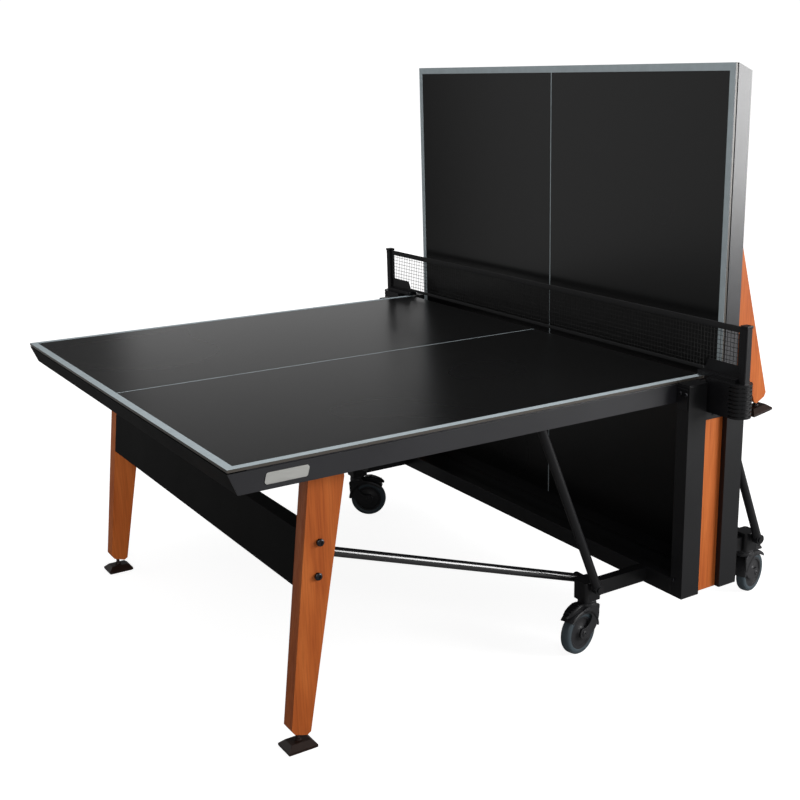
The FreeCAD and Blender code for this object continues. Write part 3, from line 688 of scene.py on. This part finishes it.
# ---- the CAD nodes' own finish ---------------------------------------------------------------------
NODE_LOOKS = {                # node: (look, edge radius in mm)
    "uprights": ("steel", 1.5),
    "crossbars": ("steel", 1.5),
    "floor_pan": ("steel", 0),
    "wood_inlays": ("timber", 1.0),
    "column_heads": ("steel", 1.0),
    "column_caps": ("plastic", 0.8),
    "caster_arms": ("steel", 1.5),
    "caster_sockets": ("steel", 0),
    "lock_housings": ("plastic", 0.8),
    "chassis_bolts": ("bolt", 0.6),
    "net_posts": ("plastic", 0),
    "net_arms": ("plastic", 1.0),
    "net_end_plates": ("plastic", 0.3),
    "post_covers": ("plastic", 0),
}
HALF_LOOKS = {
    "side_aprons": ("apron", 1.2),
    # The end apron and the skirt take the darker skirt coat, which is painted shade for faces turned away
    # from the lights.
    "end_apron": ("skirt", 1.2),
    "underframe": ("steel", 0),
    "brackets": ("steel", 0),
    "release_bar": ("steel", 0),
    "guide_blocks": ("plastic", 0),
    "struts": ("steel", 0),
    "tie_rods": ("tube", 0),
    "skirt": ("skirt", 1.5),
    "leg_bolts": ("bolt", 0.8),
}


def dress_frame():
    """Gives every CAD node that stays its look."""
    looks = dict(NODE_LOOKS)
    looks["left_board"] = ("flat_board", 0.6)
    looks["right_board"] = ("upright_board", 0.6)
    for side in SIDES:
        for name, look in HALF_LOOKS.items():
            looks[f"{side}_{name}"] = look
        for end in ENDS:
            looks[f"{side}_{end}_leg"] = ("timber", 2.0)
            looks[f"{side}_{end}_foot"] = ("pad", 1.0)
    looks["left_badge"] = ("badge", 0.5)
    for node, (look, edge) in looks.items():
        dress(node, look, edge * MM)


# ---- light, floor and camera --------------------------------------------------------------------
AMBIENT = 0.08                # light from all round, which only fills the shadows
FLOOR_GLOW = (0.90, 1.08)     # what the floor gives off itself, by the table and far away
FLOOR_GLOW_REACH = (1.6, 4.5)
FLOOR_SHADE = 0.46            # how much of the shadows the camera sees on the floor
FLOOR_BOUNCE = 0.36           # how much light the floor throws back up


def seen_or_lit(tree, seen, lit):
    """Joins two shaders of the stage: one for what is seen, one for what it lights."""
    path = tree.nodes.new("ShaderNodeLightPath")
    mix = tree.nodes.new("ShaderNodeMixShader")
    tree.links.new(path.outputs["Is Camera Ray"], mix.inputs["Fac"])
    tree.links.new(lit, mix.inputs[1])
    tree.links.new(seen, mix.inputs[2])
    return mix.outputs["Shader"]


def studio_world():
    """White all round for the eye, and only a little light from there."""
    world = bpy.data.worlds.new("studio")
    world.use_nodes = True
    tree = world.node_tree
    seen = tree.nodes["Background"]
    seen.inputs["Color"].default_value = (1, 1, 1, 1)
    seen.inputs["Strength"].default_value = 1.05
    lit = tree.nodes.new("ShaderNodeBackground")
    lit.inputs["Color"].default_value = (1, 1, 1, 1)
    lit.inputs["Strength"].default_value = AMBIENT
    both = seen_or_lit(tree, seen.outputs["Background"], lit.outputs["Background"])
    tree.links.new(both, tree.nodes["World Output"].inputs["Surface"])
    bpy.context.scene.world = world


def floor_white():
    """A pale floor that is nearly white to the eye and keeps soft shadows."""
    white = Look("floor_white", (FLOOR_BOUNCE,) * 3, 0.9, specular=0.0)
    tree = white.tree
    shade = white.node("ShaderNodeBsdfDiffuse")
    shade.inputs["Color"].default_value = (FLOOR_SHADE,) * 3 + (1,)
    far = white.node("ShaderNodeVectorMath", operation="LENGTH")
    white.link(white.node("ShaderNodeTexCoord").outputs["Object"], far.inputs[0])
    ramp = white.node("ShaderNodeMapRange")
    ramp.inputs["From Min"].default_value, ramp.inputs["From Max"].default_value = FLOOR_GLOW_REACH
    ramp.inputs["To Min"].default_value, ramp.inputs["To Max"].default_value = FLOOR_GLOW
    white.link(far.outputs["Value"], ramp.inputs["Value"])
    glow = white.node("ShaderNodeEmission")
    white.link(ramp.outputs["Result"], glow.inputs["Strength"])
    add = white.node("ShaderNodeAddShader")
    white.link(glow.outputs["Emission"], add.inputs[0])
    white.link(shade.outputs["BSDF"], add.inputs[1])
    both = seen_or_lit(tree, add.outputs["Shader"], white.shader.outputs["BSDF"])
    white.link(both, tree.nodes["Material Output"].inputs["Surface"])
    return white.material


def studio_floor():
    reach = 30.0
    drop = 0.5 * MM
    mesh_data = bmesh.new()
    corners = [(-reach, -reach), (reach, -reach), (reach, reach), (-reach, reach)]
    mesh_data.faces.new([mesh_data.verts.new((x, y, -drop)) for x, y in corners])
    mesh = bpy.data.meshes.new("floor")
    mesh_data.to_mesh(mesh)
    mesh_data.free()
    mesh.materials.append(floor_white())
    floor = bpy.data.objects.new("floor", mesh)
    bpy.context.collection.objects.link(floor)


def aim(light, position, target):
    """Hangs a light at a position, pointed at a target."""
    made = bpy.data.objects.new(light.name, light)
    made.location = position
    made.rotation_euler = (Vector(target) - Vector(position)).to_track_quat("-Z", "Y").to_euler()
    bpy.context.collection.objects.link(made)


def softbox(name, position, target, size, power):
    light = bpy.data.lights.new(name, "AREA")
    light.shape = "RECTANGLE"
    light.size, light.size_y = size
    light.energy = power
    aim(light, position, target)


def far_leg_spot():
    """A narrow beam that lifts the leg furthest from the eye."""
    light = bpy.data.lights.new("far_leg", "SPOT")
    light.energy = 170
    light.spot_size = math.radians(13)
    light.spot_blend = 0.6
    light.shadow_soft_size = 0.15
    aim(light, (NET_X - 3.0, -3.0, 0.7), (NET_X - 1.12, 0.7, 0.34))


def studio():
    """Softboxes round the table, each placed from the net's plane."""
    studio_floor()
    studio_world()
    bpy.context.scene.view_settings.view_transform = "Standard"
    middle = (NET_X, 0.0, 0.6)
    softbox("key", (NET_X + 2.7, -3.2, 1.7), (NET_X + 0.1, -0.7, 1.4), (2.6, 1.8), 180)
    softbox("front", (NET_X - 2.8, -4.6, 2.2), (NET_X - 0.4, 0.0, 0.9), (3.0, 2.0), 50)
    softbox("top", (NET_X - 0.6, -0.4, 4.2), middle, (3.0, 3.0), 80)
    softbox("back_low", (NET_X + 2.7, 6.5, 1.2), (NET_X + 1.4, 0.0, 1.2), (3.8, 2.4), 18)
    softbox("back_high", (NET_X + 1.2, 6.5, 3.6), (NET_X + 1.2, 0.0, 2.0), (4.4, 2.4), 2)
    softbox("left", (NET_X - 3.2, 2.6, 1.5), (NET_X, -0.2, 1.1), (3.2, 3.0), 16)
    far_leg_spot()


def camera():
    """Eye height view from the near left corner."""
    eye = Vector((NET_X - 2.2555, -2.9898, 1.5393))
    yaw, pitch, roll = (math.radians(angle) for angle in (34.47, 16.39, -0.527))
    forward = Vector((math.sin(yaw) * math.cos(pitch), math.cos(yaw) * math.cos(pitch), -math.sin(pitch)))
    level = Vector((math.cos(yaw), -math.sin(yaw), 0))
    above = level.cross(forward)
    right = level * math.cos(roll) + above * math.sin(roll)
    up = above * math.cos(roll) - level * math.sin(roll)
    lens = bpy.data.cameras.new("camera")
    lens.sensor_width = 36
    lens.lens = 53.62
    lens.shift_x = -0.104
    lens.shift_y = 0.032
    made = bpy.data.objects.new("camera", lens)
    made.matrix_world = Matrix.Translation(eye) @ Matrix((right, up, -forward)).transposed().to_4x4()
    bpy.context.collection.objects.link(made)
    bpy.context.scene.camera = made


camera()
studio()
dress_frame()
for side in SIDES:
    painted_lines(side)
    leg_bolt_heads(side)
lattice_net()
net_bands()
post_caps()
column_screws()
casters()
